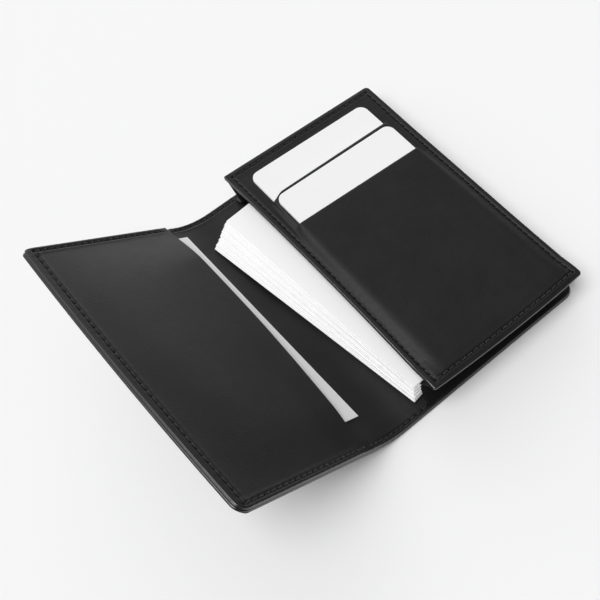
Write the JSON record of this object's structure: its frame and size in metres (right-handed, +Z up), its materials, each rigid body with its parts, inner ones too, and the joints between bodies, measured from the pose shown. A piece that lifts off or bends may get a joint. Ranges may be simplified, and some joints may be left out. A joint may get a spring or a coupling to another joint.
{
  "type": "business card case",
  "caption": "Folding leather case for business cards, with a gusseted pocket behind a slotted front panel and a raised flap with its own pocket.",
  "frame": {"origin": "middle of the back panel's flat underside, on the surface that the case lies on", "axes": "+X from the spine across the pocket, along the open case; +Y along the spine, towards the end where the slot cards show; +Z up out of the back panel"},
  "size_m": [0.145, 0.11, 0.0471],
  "materials": {
    "cover_leather": "smooth fine grain, satin",
    "lining_leather": "smooth fine grain, satin",
    "panel_leather": "smooth fine grain, satin, creased where cards lie under it",
    "gusset_fabric": "thin matt folded lining",
    "pocket_fabric": "thin matt lining",
    "board": "plain stiffening board",
    "thread": "twisted tonal thread",
    "plastic_card": "smooth white, satin gloss",
    "paper_card": "matt white card stock"
  },
  "bodies": {
    "case_back": {"cover_back_leather": "cover_leather", "cover_back_board": "board", "cover_back_lining": "lining_leather", "cover_back_stitching": "thread", "pocket_gusset": "gusset_fabric"},
    "spine_a": {"spine_a_leather": "cover_leather", "spine_a_lining": "lining_leather", "spine_a_stitching": "thread"},
    "spine_b": {"spine_b_leather": "cover_leather", "spine_b_lining": "lining_leather", "spine_b_stitching": "thread"},
    "spine_c": {"spine_c_leather": "cover_leather", "spine_c_lining": "lining_leather", "spine_c_stitching": "thread"},
    "flap": {"flap_leather": "cover_leather", "flap_board": "board", "flap_lining": "lining_leather", "flap_pocket_panel": "panel_leather", "flap_stitching": "thread"},
    "flap_card": {"flap_card": "paper_card"},
    "front_panel": {"front_panel_leather": "panel_leather", "front_panel_lining": "pocket_fabric", "front_panel_stitching": "thread", "front_slot_pocket": "pocket_fabric"},
    "slot_card_rear": {"slot_card_rear": "plastic_card"},
    "slot_card_front": {"slot_card_front": "plastic_card"},
    "card_stack": {"card_stack": "paper_card"}
  },
  "joints": [
    {"name": "spine_fold", "type": "hinge", "parent": "case_back", "child": "spine_a", "pos_m": [-0.0376, 0, 0.002], "axis": [0, 1, 0], "range_deg": [-3, 74], "deforming": ["card_stack", "pocket_gusset"]},
    {"name": "spine_bend_inner", "type": "hinge", "parent": "spine_a", "child": "spine_b", "pos_m": [-0.04719, 0, 0.0025], "axis": [0, 1, 0], "range_deg": [-11.5, 23.5]},
    {"name": "spine_bend_outer", "type": "hinge", "parent": "spine_b", "child": "spine_c", "pos_m": [-0.05261, 0, 0.00391], "axis": [0, 1, 0], "range_deg": [-11.5, 23.5]},
    {"name": "flap_fold", "type": "hinge", "parent": "spine_c", "child": "flap", "pos_m": [-0.05764, 0, 0.00636], "axis": [0, 1, 0], "range_deg": [-11.5, 23.5]},
    {"name": "flap_card_settle", "type": "hinge", "parent": "flap", "child": "flap_card", "pos_m": [-0.07811, 0.123, 0.02207], "axis": [-0.6088, 0, -0.7934], "range_deg": [-0.62, 1.25]},
    {"name": "panel_press", "type": "hinge", "parent": "case_back", "child": "front_panel", "pos_m": [0.028, 0, 0.008], "axis": [0, 1, 0], "range_deg": [-1.75, 0.1]},
    {"name": "slot_card_rear_slide", "type": "slide", "parent": "front_panel", "child": "slot_card_rear", "axis": [0.0005, 1, 0.0075], "range_m": [-0.013, 0.06]},
    {"name": "slot_card_front_slide", "type": "slide", "parent": "front_panel", "child": "slot_card_front", "axis": [0.001, 0.9999, 0.0144], "range_m": [-0.0003, 0.06]},
    {"name": "card_stack_settle", "type": "hinge", "parent": "case_back", "child": "card_stack", "pos_m": [-0.015, -0.106, 0.005], "axis": [0, 0, 1], "range_deg": [-6.5, 0.3]}
  ],
  "couplings": [
    {"joint": "spine_bend_inner", "follows": "flap_fold", "ratio": 1},
    {"joint": "spine_bend_outer", "follows": "flap_fold", "ratio": 1},
    {"joint": "flap_card_settle", "follows": "flap_fold", "ratio": 0.050638},
    {"joint": "panel_press", "follows": "spine_fold", "ratio": -0.022973},
    {"joint": "card_stack_settle", "follows": "spine_fold", "ratio": -0.087162}
  ]
}
